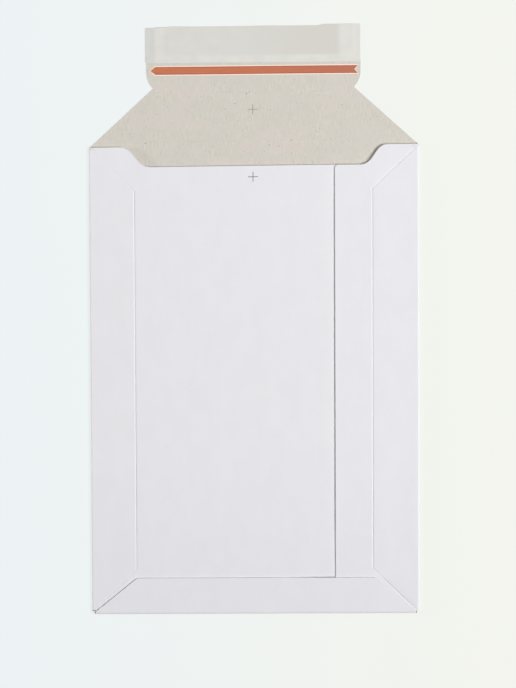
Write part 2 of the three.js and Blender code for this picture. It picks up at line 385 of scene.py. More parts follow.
def burr(x, y):
    """Height of the fine raised lip along the wings' cut edges."""
    side = np.where(x > 0, 1, -1)
    edge = np.vectorize(mouth_edge)(x)
    slope = (edge - np.vectorize(mouth_edge)(x - side * SLOPE_STEP)) / SLOPE_STEP
    near = (edge - y) / np.hypot(1, slope)
    from_seam = np.where(x > 0, x - SEAM_X, NO_SEAM)
    near = np.minimum(near, from_seam)
    lip = smooth(near / BURR_PEAK) * (1 - smooth((near - BURR_PEAK) / BURR_RUN))
    return BURR_HEIGHT * lip


def seam_corner_drop(x):
    """How far the right wing's rounded corner falls short of its straight edge."""
    d = SEAM_CORNER - (x - SEAM_X)
    if d <= 0:
        return 0.0
    return SEAM_CORNER - math.sqrt(max(SEAM_CORNER**2 - d * d, 0.0))


def mitre_rows(x):
    """Places along the pocket at which rows of the grid follow the low and the high mitre."""
    side = 1 if x > 0 else -1
    out = max(abs(x) - abs(SCORE_X[side]), 0.0)
    low = SCORE_LOW_Y - MITRE_SLOPE_LOW[side] * min(out, LOW_MITRE_REACH)
    high = SCORE_TOP_Y + MITRE_SLOPE_TOP[side] * min(out, MITRE_END_X - abs(SCORE_X[side]))
    return low, high


def bottom_flap_edge(x):
    """The bottom flap's free edge at a place across the pocket."""
    side = 1 if x > 0 else -1
    slope = (FLAP_EDGE_Y - FOOT_Y) / TAPER[side]
    slant = FOOT_Y + (SLANT_END_X - abs(x)) * slope
    rounding = max(0.0, FLAP_CORNER - abs(slant - FLAP_EDGE_Y)) ** 2 / (4 * FLAP_CORNER)
    return min(slant, FLAP_EDGE_Y) - rounding


def bottom_flap_top(x):
    """Level of the bottom flap's upper face, which follows the layers below it."""
    rise = smooth((x - SEAM_X + STEP_RUN) / STEP_RUN)
    return WING_TOP + BOARD + GLUE_FILM + (LAP_TOP - WING_TOP) * (rise - lap_lost(x))


def skewed(points):
    """The real blank is a little out of square: its cross lines fall to the left."""
    x, y = points[:, 0], points[:, 1]
    near_mouth = smooth((y - FALL_START_Y) / FALL_EASE) * smooth((FALL_END_Y - y) / FALL_FADE)
    out = points.copy()
    out[:, 1] += SKEW * x - near_mouth * MOUTH_FALL * np.clip(FALL_SHIFT - x / SIDE_X, 0, FALL_MOST)
    return out


# Mesh of a sheet of board

# Rims of cut board and of thin film, as (inset, level) from the upper face to the lower one
CUT_RIM = ((0.05, 1.0), (0.0, 0.8), (0.0, -0.8), (0.05, -1.0))
FILM_RIM = ((0.03, 1.0), (0.0, 0.0), (0.03, -1.0))

# Points this close merge, and a border's corner steps out by at most one over CORNER_LEAST
MERGE_SPAN = 1e-4
TINY = 1e-12
CORNER_LEAST = 0.6
SHARP_ANGLE = 28


def spread(*groups, gap=0.06):
    """Sorted stations from several groups, without near repeats."""
    out = []
    for value in sorted(v for group in groups for v in group):
        if not out or value - out[-1] > gap:
            out.append(value)
    return out


def every(start, end, step):
    """Even stations from start to end, about a step apart."""
    count = max(1, round(abs(end - start) / step))
    return [start + (end - start) * i / count for i in range(count + 1)]


def grid_faces(rows, columns):
    """Quads of a grid whose points run row by row."""
    i, j = np.meshgrid(np.arange(rows - 1), np.arange(columns - 1), indexing="ij")
    a = (i * columns + j).ravel()
    return np.stack([a, a + 1, a + columns + 1, a + columns], 1)


def clean_faces(faces, points):
    """Faces over merged points: those that fold to a line are dropped."""
    key = np.round(points / MERGE_SPAN).astype(np.int64)
    _, first, where = np.unique(key, axis=0, return_index=True, return_inverse=True)
    where = where.ravel()
    out = []
    for face in faces:
        ring = []
        for v in where[list(face)]:
            if not ring or ring[-1] != v:
                ring.append(int(v))
        if len(ring) > 1 and ring[0] == ring[-1]:
            ring.pop()
        if len(ring) > 2 and len(set(ring)) == len(ring):
            out.append(ring)
    return out, first


def border_edges(faces):
    """Directed edges that only one face has."""
    edges = set()
    for face in faces:
        for a, b in zip(face, face[1:] + face[:1]):
            edges.add((a, b))
    return [e for e in sorted(edges) if (e[1], e[0]) not in edges]


def outward_at(points, normals, edges):
    """At each border point, the direction out of the sheet in its own plane."""
    total = np.zeros_like(points)
    kept = {}
    for a, b in edges:
        d = points[b] - points[a]
        out = np.cross(d, normals[a] + normals[b])
        out /= max(np.linalg.norm(out), TINY)
        for v in (a, b):
            total[v] += out
            kept[v] = out
    for v, out in kept.items():
        total[v] /= max(np.linalg.norm(total[v]), TINY)
        total[v] /= max(float(total[v] @ out), CORNER_LEAST)
    return total


def sheet_mesh(name, points, normals, flat, faces, thick, rim, lift_top=None, lift_under=None):
    """A closed sheet round a middle surface.

    rim lists (inset, level) from the upper face to the lower one: how far the border steps in,
    and its level as a share of half the thickness. Face materials are 0 above, 1 below, 2 rim.
    """
    faces, first = clean_faces(faces, points)
    points, normals, flat = points[first], normals[first], flat[first]
    count = len(points)
    top = np.zeros(count) if lift_top is None else lift_top[first]
    under = np.zeros(count) if lift_under is None else lift_under[first]
    edges = border_edges(faces)
    out = outward_at(points, normals, edges)
    border = sorted({v for e in edges for v in e})
    half = thick / 2
    upper = points + normals * (half + top)[:, None] - out * rim[0][0]
    lower = points - normals * (half - under)[:, None] - out * rim[-1][0]
    stack = [upper, lower]
    rings = [{v: v for v in border}]
    base = 2 * count
    for inset, level in rim[1:-1]:
        ring = points[border] + normals[border] * (half * level) - out[border] * inset
        stack.append(ring)
        rings.append({v: base + i for i, v in enumerate(border)})
        base += len(border)
    rings.append({v: count + v for v in border})
    polygons = [list(f) for f in faces]
    kinds = [0] * len(faces)
    polygons += [[count + v for v in reversed(f)] for f in faces]
    kinds += [1] * len(faces)
    for above, below in zip(rings, rings[1:]):
        polygons += [[above[b], above[a], below[a], below[b]] for a, b in edges]
        kinds += [2] * len(edges)
    flat_all = np.concatenate([flat, flat] + [flat[border]] * (len(rim) - 2))
    return mesh_object(name, np.concatenate(stack), polygons, kinds, flat_all)


def mesh_object(name, points, polygons, kinds, flat):
    """A mesh object in metres with its flat coordinates as a UV map called blank."""
    mesh = bpy.data.meshes.new(name)
    mesh.from_pydata((skewed(points) * MM).tolist(), [], polygons)
    mesh.polygons.foreach_set("material_index", np.array(kinds, np.int32))
    mesh.polygons.foreach_set("use_smooth", np.ones(len(polygons), bool))
    layer = mesh.uv_layers.new(name="blank")
    corner = np.empty(len(mesh.loops), np.int32)
    mesh.loops.foreach_get("vertex_index", corner)
    layer.uv.foreach_set("vector", (flat[corner] * MM).astype(np.float32).ravel())
    mesh.set_sharp_from_angle(angle=math.radians(SHARP_ANGLE))
    mesh.update()
    piece = bpy.data.objects.new(name, mesh)
    bpy.context.scene.collection.objects.link(piece)
    return piece


# Pocket

# Stations across the wings, close together at the mouth's curve, scores, folds, seam and slants
CURVE_START_X = SHOULDER_X - 17.2
CURVE_END_X = SHOULDER_X + 0.2
SCORE_STATIONS = (-1.9, -1, -0.5, 0, 0.5, 1, 1.9)
FOLD_STATIONS = (0.6, 0.2, 0.0)
LIP_STATIONS = (0, 0.12, 0.3, 0.45, 0.62)
SLANT_SPANS = ((-64.6, -61.8), (63.2, 66.2))


def wing_columns(side):
    """Stations across one wing from the middle outwards, all counted positive."""
    score = abs(SCORE_X[side])
    near_score = [score + d * SCORE_HALF for d in SCORE_STATIONS]
    curve = every(CURVE_START_X, CURVE_END_X, step=0.6)
    outer = every(CURVE_END_X, FLAT_X - FOLD_STATIONS[0], step=1.6)
    outer += [FLAT_X - d for d in FOLD_STATIONS[1:]]
    return spread(near_score, curve, outer, gap=0.2)


def right_wing_columns():
    corner = [SEAM_X + SEAM_CORNER * (1 - math.cos(math.radians(a))) for a in range(0, 91, 10)]
    lip = [SEAM_X + d for d in LIP_STATIONS]
    free = every(SEAM_X + SEAM_CORNER, CURVE_START_X, step=1.6)
    return spread(lip, corner, free + wing_columns(1), gap=0.1)


def left_wing_columns():
    middle = every(-CURVE_START_X, LEFT_WING_END, step=2.0)
    near_seam = [SEAM_X + d for d in (-1.0, -0.5, 0, 0.5)]
    return spread([-x for x in wing_columns(-1)], middle, near_seam, gap=0.1)


def panel_columns():
    over_lap = every(SEAM_X - STEP_RUN, SEAM_X, STEP_RUN / 16)
    drop = every(RISE_START, RISE_START + RISE_LENGTH, step=1.0)
    slants = [x for low, high in SLANT_SPANS for x in every(low, high, step=0.25)]
    ends = [side * (FLAT_X - d) for side in (-1, 1) for d in (0, 0.3, 0.6, 1.0, 1.5)]
    coarse = every(-FLAT_X, FLAT_X, step=2.4)
    return spread(over_lap, drop, slants, ends, coarse, gap=0.12)


FOLD_STEPS = 14


def power(value, exponent):
    """A power that keeps its base's sign."""
    return math.copysign(abs(value) ** exponent, value)


def fold_stations(side):
    """A side fold from the wing down to the panel: x, level, normal across and up, u.

    Its section is a squarish half round, because the fold was creased and pressed.
    """
    middle_radius = FOLD_RADIUS - BOARD / 2
    place = 2 / FOLD_POWER
    out = []
    for i in range(1, FOLD_STEPS):
        share = i / FOLD_STEPS
        sine, cosine = math.sin(math.pi * share), math.cos(math.pi * share)
        across, up = power(sine, 2 - place), power(cosine, 2 - place)
        size = math.hypot(across, up)
        x = side * (FLAT_X + middle_radius * power(sine, place))
        z = FOLD_RADIUS + middle_radius * power(cosine, place)
        u = side * (FLAT_X + FOLD_ARC * (1 - share))
        out.append(("fold", x, z, side * across / size, up / size, u))
    return out


def right_wing_u(x):
    """Place across the flat blank of a point of the right wing."""
    return FLAT_X + FOLD_ARC + FLAT_X - x


def left_wing_u(x):
    """Place across the flat blank of a point of the left wing."""
    return -FLAT_X - FOLD_ARC - FLAT_X - x


def pocket_columns():
    """Every column of the sheet: kind, x, level of the middle, normal across and up, u."""
    columns = []
    for x in right_wing_columns():
        level = float(right_wing_top(x)) - BOARD / 2
        columns.append(("right", x, level, 0, 1, right_wing_u(x)))
    columns += fold_stations(1)
    for x in reversed(panel_columns()):
        columns.append(("panel", x, BOARD / 2, 0, -1, x))
    columns += reversed(fold_stations(-1))
    for x in left_wing_columns():
        columns.append(("left", x, WING_TOP - BOARD / 2, 0, 1, left_wing_u(x)))
    return columns


# Rows of the grid: shares or distances that crowd where the shape turns
BAND = (-1.3, -0.8, -0.4, 0.0, 0.35, 0.7, 1.05, 1.4)
MOUTH_BAND = (0.85, 0.6, 0.4, 0.25, 0.12, 0.0)
PRESS_BAND = (0.0, 0.2, 0.5, 0.9)
PRESS_LEAD = 0.6
PRESS_ROOM = 1.2
PRESS_LEAST = 1.0
PLAIN_ROWS = 60


def wing_foot(x):
    """The wings' lower edge, which reaches further down at the side folds."""
    return WING_FOOT_Y - WING_FOOT_DROP * smooth((abs(x) - WING_FOOT_X) / WING_FOOT_EASE)


def column_rows(kind, x):
    """Places along the pocket of one column's points, from its foot to its mouth."""
    high = mouth_edge(x) if kind != "panel" else MOUTH_Y
    if kind == "right":
        high -= seam_corner_drop(x)
    low_mitre, high_mitre = mitre_rows(x)
    foot = float(wing_foot(x))
    pressed = max(bottom_flap_edge(x), foot + PRESS_LEAST)
    room = min(1.0, (low_mitre + BAND[0] - pressed) / PRESS_ROOM)
    start = [foot + (pressed - PRESS_LEAD - foot) * t for t in (0, 0.33, 0.67)]
    start += [pressed - PRESS_LEAD] + [pressed + d * room for d in PRESS_BAND]
    low = [low_mitre + d for d in BAND]
    plain = high_mitre - low_mitre - BAND[-1] + BAND[0]
    between = [low_mitre + BAND[-1] + plain * i / PLAIN_ROWS for i in range(1, PLAIN_ROWS)]
    upper = [high_mitre + d for d in BAND]
    span = high - MOUTH_BAND[0] - (high_mitre + BAND[-1])
    end = [high_mitre + BAND[-1] + span * t for t in (0.25, 0.5, 0.75)]
    end += [high - d for d in MOUTH_BAND]
    return start + low + between + upper + end


def pocket_grid():
    """The wings and the panel between them: columns, points, normals and flat places."""
    columns = pocket_columns()
    points, normals, flat = [], [], []
    for kind, x, z, across, up, u in columns:
        for y in column_rows(kind, x):
            points.append((x, y, z))
            normals.append((across, 0, up))
            flat.append((u, y))
    shape = (len(columns), -1, 3)
    points = np.array(points).reshape(shape)
    lift = crown(points[..., 0], points[..., 1])
    wings = np.array([c[0] in ("left", "right") for c in columns])
    points[..., UP] += lift * wings[:, None]
    overlap = np.array([c[0] == "right" for c in columns])
    points[..., UP] += seam_curl(points[..., 0], points[..., 1]) * overlap[:, None]
    normals = np.array(normals).reshape(shape)
    flat = np.array(flat).reshape(len(columns), -1, 2)
    return columns, points, normals, flat


LEG_ROWS = 9
LEG_RIM = 0.45
BEND_ROWS = 12


def bottom_column(x, u):
    """Points of one column past the pocket's foot: round the fold and up over the wings."""
    top = float(bottom_flap_top(x))
    edge = bottom_flap_edge(x)
    outer = top / 2
    middle = outer - BOARD / 2
    bend_y = FOOT_Y + outer
    last = math.pi
    if edge < bend_y:
        last = math.pi - math.acos(min(max((bend_y - edge) / outer, -1), 1))
        last = max(last, math.pi / 2)
    points, normals, flat = [], [], []
    for i in range(1, BEND_ROWS + 1):
        angle = min(math.pi * i / BEND_ROWS, last)
        back, up = -math.sin(angle), -math.cos(angle)
        points.append((x, bend_y + middle * back, outer + middle * up))
        normals.append((0, back, up))
        flat.append((u, bend_y - middle * angle))
    leg = max(edge - bend_y, 0.0)
    for i in range(1, LEG_ROWS + 1):
        share = min(i / (LEG_ROWS - 1), 1 - LEG_RIM / max(leg, 1.0)) if i < LEG_ROWS else 1.0
        if leg <= 0:
            points.append(points[-1])
            normals.append(normals[-1])
            flat.append(flat[-1])
            continue
        points.append((x, bend_y + leg * share, top - BOARD / 2))
        normals.append((0, 0, 1))
        flat.append((u, bend_y - middle * math.pi - leg * share))
    return points, normals, flat


# A wing's faces point up by at least this share, and so much of a score shows below the board
UPWARD = 0.99
UNDER_SHARE = 0.8


def bottom_grid(columns, points, normals, flat):
    """The bottom flap below the panel's columns, each of which starts at the panel's foot."""
    low, low_normals, low_flat = [], [], []
    for i, (kind, x, _, _, _, u) in enumerate(columns):
        if kind != "panel":
            continue
        more, more_normals, more_flat = bottom_column(x, u)
        low += [points[i, 0], *more]
        low_normals += [normals[i, 0], *more_normals]
        low_flat += [flat[i, 0], *more_flat]
    return np.array(low), np.array(low_normals), np.array(low_flat)


def pocket_sheet():
    columns, points, normals, flat = pocket_grid()
    low, low_normals, low_flat = bottom_grid(columns, points, normals, flat)
    count, rows = points.shape[:2]
    below = BEND_ROWS + LEG_ROWS + 1
    # The bottom flap's rows run away from the mouth, so its faces are turned
    low_faces = grid_faces(len(low) // below, below)[:, ::-1] + count * rows
    faces = np.concatenate([grid_faces(count, rows), low_faces])
    points = np.concatenate([points.reshape(-1, 3), low])
    normals = np.concatenate([normals.reshape(-1, 3), low_normals])
    flat = np.concatenate([flat.reshape(-1, 2), low_flat])
    above_foot = np.arange(len(points)) < count * rows
    on_wing = (normals[:, UP] > UPWARD) & (points[:, UP] < LAP_TOP) & above_foot
    lift = (burr(points[:, 0], points[:, 1]) - groove(points[:, 0], points[:, 1])) * on_wing
    return sheet_mesh(
        "pocket_sheet", points, normals, flat, faces.tolist(), BOARD, CUT_RIM,
        lift_top=lift, lift_under=lift * UNDER_SHARE,
    )


# Closing flap


def flap_half_width(y):
    """Half the closing flap's width at a place along it."""
    if y < NECK_Y:
        return SIDE_X - (SIDE_X - NECK_X) * (y - MOUTH_Y) / (NECK_Y - MOUTH_Y)
    if y < BULGE_Y:
        return LIP_X - LIP_BULGE + math.sqrt(LIP_BULGE**2 - (BULGE_Y - y) ** 2)
    if y < CHAMFER_Y:
        return LIP_X
    if y < CHAMFER_Y + CHAMFER_RISE:
        return LIP_X + (LIP_TOP_X - LIP_X) * (y - CHAMFER_Y) / CHAMFER_RISE
    over = y - (LIP_TOP_Y - LIP_CORNER)
    if over <= 0:
        return LIP_TOP_X
    return LIP_TOP_X - LIP_CORNER + math.sqrt(max(LIP_CORNER**2 - over * over, 0.0))


def flap_rows():
    """Stations along the flap, close together over its bend, its scores and its round parts."""
    bend = every(BEND_START_Y, BEND_END_Y, step=0.16)
    second = [SECOND_SCORE_Y + d for d in (-1.0, -0.55, -0.28, 0, 0.28, 0.55, 1.0)]
    bulge = every(NECK_Y, BULGE_Y, step=0.7)
    chamfer = every(CHAMFER_Y, CHAMFER_Y + CHAMFER_RISE, step=1.1)
    corner = [LIP_TOP_Y - LIP_CORNER * (1 - math.sin(math.radians(a))) for a in range(0, 91, 15)]
    coarse = every(BEND_END_Y, LIP_TOP_Y - LIP_CORNER, step=2.2)
    return spread(bend, second, bulge, chamfer, corner, coarse, gap=0.1)


def flap_level(x, y):
    """The flap's slight waves off the table, none at the pocket."""
    away = smooth((y - BEND_END_Y) / WAVE_EASE)
    across = ripple(x, length=17.0, shift=1.3)
    along = ripple(y, length=9.0, shift=x / 31.0)
    wave = WAVE_HEIGHT * across + WAVE_HEIGHT * along
    return (FLAP_LIFT + wave) * away


def fold_tip(x):
    """The corner beyond the flat panel still follows the side fold's curve."""
    over = np.clip((np.abs(x) - FLAT_X) / FOLD_RADIUS, 0, 1)
    return FOLD_RADIUS * (1 - (1 - over**FOLD_POWER) ** (1 / FOLD_POWER))


# Stations across the flap as shares of its half width, closer together at its rims
FLAP_SHARES = np.concatenate([[-1, -0.995], np.linspace(-0.98, 0.98, 49), [0.995, 1]])


def flap_sheet():
    rows = flap_rows()
    y = np.repeat(rows, len(FLAP_SHARES))
    half = np.repeat([flap_half_width(v) for v in rows], len(FLAP_SHARES))
    x = half * np.tile(FLAP_SHARES, len(rows))
    z = BOARD / 2 + flap_level(x, y) + TIP_SHARE * fold_tip(x)
    points = np.stack([x, y, z], 1)
    normals = np.tile([0.0, 0.0, -1.0], (len(points), 1))
    faces = grid_faces(len(rows), len(FLAP_SHARES))[:, ::-1]
    depth = np.zeros(len(points))
    for line in (CREASE_Y, SECOND_SCORE_Y):
        depth = np.maximum(depth, CREASE_DEPTH * np.clip(1 - np.abs(y - line) / SCORE_HALF, 0, 1))
    return sheet_mesh(
        "flap_sheet", points, normals, points[:, :2].copy(), faces.tolist(), BOARD,
        CUT_RIM, lift_top=-depth, lift_under=-depth,
    )


# Strips on the closing flap


def strip_mesh(name, x, y, z, faces, thick):
    """A thin strip that lies on the flap, mapped straight from its plan."""
    points = np.stack([x.ravel(), y.ravel(), z.ravel()], 1)
    normals = np.tile([0.0, 0.0, 1.0], (len(points), 1))
    return sheet_mesh(name, points, normals, points[:, :2].copy(), faces.tolist(), thick, FILM_RIM)


def tape_film():
    shares = np.linspace(-1, 1, TAPE_ROWS)
    stations = np.linspace(0, 1, TAPE_COLUMNS)
    s, v = np.meshgrid(stations, shares, indexing="ij")
    left = TAPE_LEFT + TAPE_POINT * np.abs(v)
    right = TAPE_RIGHT - TAPE_NOTCH * (1 - np.abs(v))
    x = left + (right - left) * s
    y = TAPE_Y + v * TAPE_WIDTH / 2 + TAPE_SWAY * ripple(x, TAPE_SWAY_RUN)
    z = BOARD + TAPE_THICK / 2 + flap_level(x, y)
    points = np.stack([x.ravel(), y.ravel(), z.ravel()], 1)
    normals = np.tile([0.0, 0.0, 1.0], (len(points), 1))
    faces = grid_faces(len(stations), len(shares))[:, ::-1]
    flat = np.stack([x.ravel(), (v * TAPE_WIDTH / 2).ravel()], 1)
    return sheet_mesh("tear_tape_film", points, normals, flat, faces.tolist(), TAPE_THICK, FILM_RIM)


def rounded_strip(place, radius, step):
    """Plan grid of a strip with rounded corners: x and y arrays, rows across."""
    low, high = place["low"], place["high"]
    ends = [radius * (1 - math.cos(math.radians(a))) for a in range(0, 91, 15)]
    rows = spread([low + e for e in ends], [high - e for e in ends], every(low, high, step))
    xs, ys = [], []
    count = round((place["right"] - place["left"]) / step)
    shares = np.linspace(0, 1, count + 1)
    for y in rows:
        near = min(y - low, high - y)
        inset = radius - math.sqrt(max(radius**2 - max(radius - near, 0) ** 2, 0))
        xs.append(place["left"] + inset + (place["right"] - place["left"] - 2 * inset) * shares)
        ys.append(np.full(count + 1, y))
    return np.array(xs), np.array(ys)


def glue_band():
    x, y = rounded_strip(GLUE, GLUE_CORNER, GLUE_CELL)
    z = BOARD + GLUE_THICK / 2 + flap_level(x, y)
    return strip_mesh("adhesive_band", x, y, z, grid_faces(*x.shape), GLUE_THICK)


def inside(place, x, y, soft):
    """1 well inside a strip, 0 outside it, with a soft border."""
    near = np.minimum(
        np.minimum(x - place["left"], place["right"] - x),
        np.minimum(y - place["low"], place["high"] - y),
    )
    return smooth(near / soft + 0.5)


def liner_wrinkles(x, y):
    """Small lifts of the release paper along its upper edge, with one slanting fold."""
    up = smooth((y - LINER["high"] + WRINKLE_REACH) / WRINKLE_REACH)
    wave = WRINKLE["wave"] * ripple(x, length=6.1) * ripple(x, length=15.0, shift=0.8)
    off_fold = x - WRINKLE["fold_x"] - (y - WRINKLE["fold_y"]) * 0.9
    fold = WRINKLE["fold"] * np.exp(-((off_fold / WRINKLE["fold_half"]) ** 2))
    return up * (WRINKLE["lift"] + wave + fold)


def liner_step(x):
    """How far the release paper's torn upper edge lies off its straight line."""
    middle = LINER_STEPS["middle"]
    step = middle + (LINER_STEPS["left"] - middle) * smooth((LEFT_STEP["x"] - x) / LEFT_STEP["run"])
    step = step + (LINER_STEPS["right"] - middle) * smooth((x - RIGHT_STEP["x"]) / RIGHT_STEP["run"])
    return step + 0.06 * ripple(x, length=9.0, shift=0.5) + 0.04 * ripple(x, length=3.7)


def liner_paper():
    x, y = rounded_strip(LINER, LINER_CORNER, LINER_CELL)
    edge = smooth((y - LINER["high"] + LINER_EDGE) / LINER_EDGE)
    y = y + edge * liner_step(x)
    over_glue = inside(GLUE, x, y, COVER_RUN)
    half = np.vectorize(flap_half_width)(np.minimum(y, LIP_TOP_Y - LIP_CORNER))
    on_lip = smooth(1.0 + (half - np.abs(x)) / COVER_RUN)
    z = BOARD * (0.5 + 0.5 * on_lip) + LINER_THICK * 0.6
    z = z + (GLUE_THICK + COVER_GAP) * over_glue + flap_level(x, y) + liner_wrinkles(x, y)
    return strip_mesh("liner_strip", x, y, z, grid_faces(*x.shape), LINER_THICK)


# Materials


class Nodes:
    """A material's node tree, with short helpers that add and link nodes."""

    def __init__(self, name):
        self.material = bpy.data.materials.new(name)
        self.material.use_nodes = True
        self.tree = self.material.node_tree
        self.shader = self.tree.nodes["Principled BSDF"]

    def node(self, kind, **settings):
        made = self.tree.nodes.new(kind)
        for key, value in settings.items():
            setattr(made, key, value)
        return made

    def put(self, socket, value):
        if isinstance(value, bpy.types.NodeSocket):
            self.tree.links.new(value, socket)
        else:
            socket.default_value = value

    def blank(self):
        """Coordinates on the flat blank, in metres."""
        return self.node("ShaderNodeUVMap", uv_map="blank").outputs["UV"]

    def scaled(self, vector, scale, shift=(0, 0, 0)):
        made = self.node("ShaderNodeMapping")
        self.put(made.inputs["Vector"], vector)
        made.inputs["Scale"].default_value = scale
        made.inputs["Location"].default_value = shift
        return made.outputs["Vector"]

    def noise(self, vector, detail=3.0, rough=0.55):
        made = self.node("ShaderNodeTexNoise")
        self.put(made.inputs["Vector"], vector)
        made.inputs["Scale"].default_value = 1.0
        made.inputs["Detail"].default_value = detail
        made.inputs["Roughness"].default_value = rough
        return made.outputs["Fac"]

    def math(self, operation, a, b=0.0, c=0.0):
        made = self.node("ShaderNodeMath", operation=operation)
        self.put(made.inputs[0], a)
        self.put(made.inputs[1], b)
        self.put(made.inputs[2], c)
        return made.outputs[0]

    def between(self, value, low, high):
        """value taken from low..high to 0..1, smoothly."""
        made = self.node("ShaderNodeMapRange", interpolation_type="SMOOTHSTEP")
        self.put(made.inputs["Value"], value)
        made.inputs["From Min"].default_value = low
        made.inputs["From Max"].default_value = high
        return made.outputs["Result"]

    def mix(self, share, a, b, blend="MIX"):
        made = self.node("ShaderNodeMix", data_type="RGBA", blend_type=blend)
        self.put(made.inputs["Factor"], share)
        self.put(made.inputs["A"], a)
        self.put(made.inputs["B"], b)
        return made.outputs["Result"]

    def waver(self, share, colour, dark, pale):
        """A colour that wavers between a darker and a paler shade of itself."""
        low, high = linear(shade(colour, dark)), linear(shade(colour, pale))
        return self.mix(self.between(share, 0.3, 0.7), low, high)

    def tint(self, base, share, most, colour):
        """base mixed with a colour, by a share of most at the highest."""
        return self.mix(self.math("MULTIPLY", share, most), base, linear(colour))

    def spot(self, flat, place, radius):
        """1 in a small spot of the blank, 0 outside it, with a soft border."""
        made = self.node("ShaderNodeVectorMath", operation="DISTANCE")
        self.put(made.inputs[0], flat)
        made.inputs[1].default_value = (place[0] * MM, place[1] * MM, 0)
        return self.between(made.outputs["Value"], radius * 1.35 * MM, radius * 0.6 * MM)

    def worn_line(self, flat, line):
        """A score across the flap, shown by loose pale fibres in short dashes."""
        off = self.math("ABSOLUTE", self.math("SUBTRACT", self.split(flat)[1], line * MM))
        near = self.between(off, 0.5 * MM, 0.15 * MM)
        dash = self.noise(self.scaled(flat, (700, 40, 1), (0, line, 0)), detail=3.0)
        return self.math("MULTIPLY", near, self.between(dash, 0.5, 0.62))

    def split(self, vector):
        made = self.node("ShaderNodeSeparateXYZ")
        self.put(made.inputs[0], vector)
        return made.outputs

    def finish(self, colour, rough, bump=None, strength=0.2, depth=0.0001, gloss=0.35):
        self.put(self.shader.inputs["Base Color"], colour)
        self.put(self.shader.inputs["Roughness"], rough)
        self.shader.inputs["Specular IOR Level"].default_value = gloss
        if bump is not None:
            made = self.node("ShaderNodeBump")
            made.inputs["Strength"].default_value = strength
            made.inputs["Distance"].default_value = depth
            self.put(made.inputs["Height"], bump)
            self.put(self.shader.inputs["Normal"], made.outputs["Normal"])
        return self.material


def shade(colour, factor):
    """A colour made darker or paler."""
    return tuple(min(255.0, c * factor) for c in colour)


def register_mark(n, flat, place):
    """A thin printed cross: 1 on its lines."""
    part = n.split(flat)
    along = n.math("ABSOLUTE", n.math("SUBTRACT", part[0], place[0] * MM))
    across = n.math("ABSOLUTE", n.math("SUBTRACT", part[1], place[1] * MM))
    half, line = MARK_SIZE / 2 * MM, MARK_LINE / 2 * MM

    def bar(a, b):
        short = n.between(a, line * 1.15, line * 0.85)
        long = n.between(b, half * 1.02, half * 0.98)
        return n.math("MULTIPLY", short, long)

    return n.math("MAXIMUM", bar(along, across), bar(across, along))


def white_board():
    n = Nodes("white_board_face")
    flat = n.blank()
    mottle = n.noise(n.scaled(flat, (110, 60, 1)), detail=4.0)
    grain = n.noise(n.scaled(flat, (2200, 500, 1)), detail=2.0)
    base = n.waver(mottle, WHITE_FACE, dark=0.994, pale=1.004)
    base = n.tint(base, n.between(grain, 0.35, 0.75), 0.28, shade(WHITE_FACE, 0.98))
    mark = register_mark(n, flat, (left_wing_u(FRONT_MARK[0]), FRONT_MARK[1]))
    base = n.mix(mark, base, linear(shade(PRINT_GREY, 0.8)))
    # Painted shade: the white face is painted darker towards the pocket's foot
    low = n.between(n.split(flat)[1], FOOT_SHADE_Y[0] * MM, FOOT_SHADE_Y[1] * MM)
    base = n.mix(low, base, n.mix(1.0, base, linear(FOOT_PAINTED_SHADE), "MULTIPLY"))
    rough = n.math("ADD", n.math("MULTIPLY", mottle, 0.1), 0.58)
    bump = n.math("ADD", n.math("MULTIPLY", grain, 0.4), n.noise(n.scaled(flat, (260, 190, 1))))
    return n.finish(base, rough, bump, strength=0.12, depth=0.00008, gloss=0.22)


def grey_board():
    n = Nodes("grey_board_face")
    flat = n.blank()
    streak = n.noise(n.scaled(flat, (1700, 210, 1)), detail=3.0, rough=0.6)
    cloud = n.noise(n.scaled(flat, (75, 60, 1)), detail=3.0)
    warm = n.noise(n.scaled(flat, (60, 75, 1), (5.0, 9.0, 0)), detail=2.0)
    fleck = n.noise(n.scaled(flat, (1150, 800, 1), (3.1, 7.7, 0)), detail=1.0)
    pale = n.noise(n.scaled(flat, (1250, 600, 1), (11.0, 2.0, 0)), detail=1.0)
    base = n.waver(streak, GREY_FACE, dark=0.968, pale=1.022)
    base = n.tint(base, n.between(cloud, 0.38, 0.66), 0.5, GREY_COOL)
    base = n.tint(base, n.between(warm, 0.45, 0.65), 0.55, GREY_WARM)
    base = n.tint(base, n.between(fleck, 0.66, 0.76), 0.55, FLECK_DARK)
    base = n.tint(base, n.between(pale, 0.66, 0.77), 0.5, FLECK_PALE)
    # Specks, and the painted shadow spot at the flap's right corner
    for place, size, tone in SPECKS_AND_PAINTED_SHADOW:
        base = n.mix(n.spot(flat, place, size), base, linear(tone))
    for line, share in ((CREASE_Y, 0.35), (SECOND_SCORE_Y, 0.3)):
        base = n.tint(base, n.worn_line(flat, line), share, FLECK_PALE)
    base = n.tint(base, register_mark(n, flat, FLAP_MARK), 0.72, PRINT_GREY)
    bump = n.math("ADD", streak, n.noise(n.scaled(flat, (700, 500, 1))))
    return n.finish(base, 0.85, bump, strength=0.35, depth=0.00008, gloss=0.2)


def cut_edge():
    n = Nodes("cut_board_edge")
    fibre = n.noise(n.scaled(n.blank(), (1400, 1400, 1)), detail=3.0)
    base = n.waver(fibre, CUT_EDGE, dark=0.95, pale=1.03)
    return n.finish(base, 0.9, fibre, strength=0.4, depth=0.0001, gloss=0.2)


def past(n, ahead, behind):
    """1 where one place lies ahead of another, with a soft change 0.2 mm wide."""
    return n.between(n.math("SUBTRACT", ahead, behind), -0.1 * MM, 0.1 * MM)


